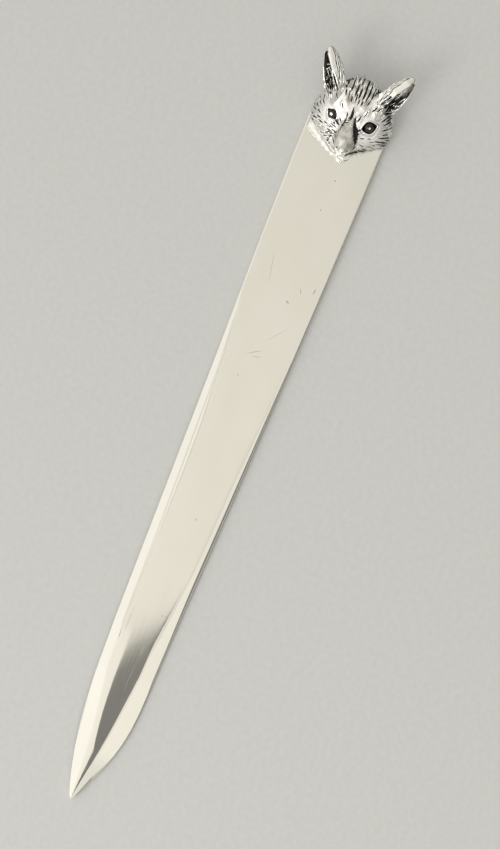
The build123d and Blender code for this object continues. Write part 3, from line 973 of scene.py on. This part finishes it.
def use_marks(add):
    """Strength of the scratches and nicks at each place, as spindles along the face."""
    place = add("ShaderNodeTexCoord")
    total = 0.0
    for x, y, turn, half_length, half_breadth, strength in MARKS:
        inputs = {
            "Vector": place.outputs["Object"],
            "Location": (x * MM, y * MM, 0.0),
            "Rotation": (0.0, 0.0, math.radians(turn)),
            "Scale": (half_length * MM, half_breadth * MM, 1.0),
        }
        spindle = add("ShaderNodeMapping", inputs, vector_type="TEXTURE")
        shade = add("ShaderNodeTexGradient", {"Vector": spindle.outputs["Vector"]}, gradient_type="SPHERICAL")
        level = combine(add, "MULTIPLY", shade.outputs["Fac"], MARK_GAIN * strength)
        held = combine(add, "MINIMUM", level, strength)
        total = combine(add, "MAXIMUM", held, total)
    return total


def ramp(add, value, stops):
    """Colour ramp over a value, from pairs of place and grey or colour."""
    node = add("ShaderNodeValToRGB", {"Fac": value})
    elements = node.color_ramp.elements
    while len(elements) < len(stops):
        elements.new(0.5)
    for element, (place, colour) in zip(elements, stops):
        element.position = place
        element.color = colour if isinstance(colour, tuple) else (colour, colour, colour, 1.0)
    return node.outputs["Color"]


def blade_finish():
    """Bright silver with lengthwise polish lines, hairlines, marks of use and a faint haze."""
    material, shader, add = new_material("Blade_Silver")
    lines = noise(add, 3.0, 6.0, 0.65, (18.0, 900.0, 900.0))
    haze = noise(add, 1.0, 4.0, 0.55, (60.0, 140.0, 140.0))
    hair = noise(add, 1.0, 2.0, 0.5, (55.0, 1500.0, 1500.0))
    tone = ramp(add, haze, [(0.3, HAZED_SILVER), (0.7, SILVER)])
    marked = add("ShaderNodeMix", {"Factor": use_marks(add), "A": tone, "B": MARK_GREY}, data_type="RGBA")
    gloss = combine(add, "MULTIPLY", haze, 0.06)
    streak = combine(add, "MULTIPLY", lines, 0.06)
    fine = ramp(add, hair, [(0.30, 0.0), (0.36, 1.0)])
    feed(shader, {
        "Base Color": marked.outputs["Result"],
        "Metallic": 1.0,
        "Roughness": combine(add, "ADD", combine(add, "ADD", gloss, streak), 0.02),
        "Normal": bump(add, 0.35, 0.004 * MM, combine(add, "ADD", lines, fine)),
    })
    return material


def cast_finish():
    """Bright cast silver with black patina left in its cuts and hollows, and painted shade in the crown's
    corners, on its back edge, beside the muzzle and under the jaw.
    """
    material, shader, add = new_material("Cast_Silver")
    # Patina and painted shade of the head, read from its point attribute
    oxide_and_painted_shade = add("ShaderNodeAttribute", attribute_name="oxide_and_painted_shade").outputs["Fac"]
    patch = noise(add, 700.0, 3.0, 0.5)
    shift = combine(add, "MULTIPLY", combine(add, "SUBTRACT", patch, 0.5), 0.5)
    dark = combine(add, "ADD", oxide_and_painted_shade, shift)
    feed(shader, {
        "Base Color": ramp(add, dark, [(0.12, CAST_SILVER), (0.38, HALF_OXIDE), (0.72, OXIDE)]),
        "Metallic": ramp(add, dark, [(0.45, 1.0), (0.8, 0.55)]),
        "Roughness": ramp(add, dark, [(0.08, 0.17), (0.22, 0.44), (0.7, 0.5)]),
        "Normal": bump(add, 0.25, 0.01 * MM, noise(add, 3500.0, 4.0, 0.6)),
    })
    return material


def eye_finish():
    """Glossy oxidised black, rubbed back to bright metal at the crown, which is sized as a painted highlight.
    """
    material, shader, add = new_material("Eye_Black")
    worn_and_highlight = add("ShaderNodeAttribute", attribute_name="worn_and_highlight").outputs["Fac"]
    feed(shader, {
        "Base Color": ramp(add, worn_and_highlight, [(0.1, EYE_BLACK), (0.9, CAST_SILVER)]),
        "Metallic": ramp(add, worn_and_highlight, [(0.1, 0.0), (0.5, 1.0)]),
        "Roughness": ramp(add, noise(add, 1800.0, 3.0, 0.5), [(0.3, 0.06), (0.7, 0.14)]),
    })
    return material


def solder_finish():
    """Duller silver of the solder, slightly pitted."""
    material, shader, add = new_material("Solder_Silver")
    pits = noise(add, 2600.0, 5.0, 0.6)
    feed(shader, {
        "Base Color": ramp(add, pits, [(0.30, PITTED_SOLDER), (0.55, SOLDER_SILVER)]),
        "Metallic": 1.0,
        "Roughness": ramp(add, pits, [(0.3, 0.4), (0.7, 0.2)]),
        "Normal": bump(add, 0.4, 0.02 * MM, pits),
    })
    return material


# Stage

def make_floor():
    """Plain pale table top under the object."""
    signs = ((-1, -1), (1, -1), (1, 1), (-1, 1))
    floor = put("Table", [(a * FLOOR_REACH, b * FLOOR_REACH, 0) for a, b in signs], [(0, 1, 2, 3)])
    floor.location.z = -FLOOR_DROP * MM
    material, shader, add = new_material("Table_Grey")
    low = tuple(0.96 * channel for channel in FLOOR_GREY[:3]) + (1.0,)
    tone = ramp(add, noise(add, 900.0, 3.0, 0.5), [(0.35, low), (0.65, FLOOR_GREY)])
    feed(shader, {"Base Color": tone, "Roughness": 0.85, "Specular IOR Level": 0.2})
    floor.data.materials.append(material)


def make_card():
    """Grey card overhead that only the polished metal sees, mirrored in the flat near the point."""
    card = put("Grey_Card", CARD_CORNERS, [(0, 1, 2, 3)])
    material, shader, add = new_material("Card_Grey")
    tone = ramp(add, noise(add, 40.0, 2.0, 0.5), [(0.3, 0.28), (0.7, 0.33)])
    feed(shader, {"Base Color": tone, "Roughness": 0.9})
    card.data.materials.append(material)
    card.visible_camera = False
    card.visible_diffuse = False
    card.visible_shadow = False


def soft_box(name, place, aim, size, radiance, colour):
    """Rectangular lamp at a place, turned to an aim, both in millimetres."""
    lamp = bpy.data.lights.new(name, "AREA")
    lamp.shape = "RECTANGLE"
    lamp.size = size[0] * MM
    lamp.size_y = size[1] * MM
    lamp.energy = radiance * math.pi * lamp.size * lamp.size_y
    lamp.color = colour
    holder = bpy.data.objects.new(name, lamp)
    holder.location = Vector(place) * MM
    holder.rotation_euler = (Vector(place) - Vector(aim)).to_track_quat("Z", "Y").to_euler()
    bpy.context.scene.collection.objects.link(holder)


def make_light():
    """Pale room, brighter overhead and to the left, with a soft key and a weak fill from the right."""
    world = bpy.data.worlds.new("Studio")
    bpy.context.scene.world = world
    world.use_nodes = True
    tree = world.node_tree
    add = node_adder(tree)
    place = add("ShaderNodeTexCoord").outputs["Generated"]
    split = add("ShaderNodeSeparateXYZ", {0: place})
    tone = ramp(add, split.outputs["Z"], ROOM_STOPS)
    toward = add("ShaderNodeVectorMath", {0: place, 1: ROOM_LEAN}, operation="DOT_PRODUCT")
    room = tree.nodes["Background"]
    feed(room, {"Color": tone, "Strength": combine(add, "ADD", toward.outputs["Value"], 1.0)})
    backdrop = add("ShaderNodeBackground", {"Color": BACKDROP_GREY})
    ray = add("ShaderNodeLightPath")
    inputs = {"Fac": ray.outputs["Is Camera Ray"], 1: room.outputs[0], 2: backdrop.outputs[0]}
    choice = add("ShaderNodeMixShader", inputs)
    feed(tree.nodes["World Output"], {"Surface": choice.outputs[0]})
    for lamp in LAMPS:
        soft_box(*lamp)


def make_camera():
    """Camera at the photograph's place and angle."""
    forward = Vector(CAMERA_FORWARD).normalized()
    right = Vector(CAMERA_RIGHT).normalized()
    upward = right.cross(forward)
    pose = Matrix((right, upward, -forward)).transposed().to_4x4()
    pose.translation = Vector(CAMERA_PLACE) * MM
    data = bpy.data.cameras.new("Camera")
    data.sensor_width = SENSOR_MM
    data.lens = SENSOR_MM * FOCAL_PIXELS / max(IMAGE_SIZE)
    data.clip_start = 0.01
    data.clip_end = 20.0
    camera = bpy.data.objects.new("Camera", data)
    camera.matrix_world = pose
    bpy.context.scene.collection.objects.link(camera)
    bpy.context.scene.camera = camera


seat(make_blade(), "blade", blade_finish())
seat(make_head(), "fox_head", cast_finish())
eye_material = eye_finish()
seat(make_eye("left_eye", "Eye_Left", LEFT_CROWN_HIGHLIGHT), "left_eye", eye_material)
seat(make_eye("right_eye", "Eye_Right", RIGHT_CROWN_HIGHLIGHT), "right_eye", eye_material)
seat(make_solder(), "solder_fillet", solder_finish())
make_floor()
make_card()
make_light()
make_camera()
bpy.context.scene.view_settings.view_transform = "Standard"
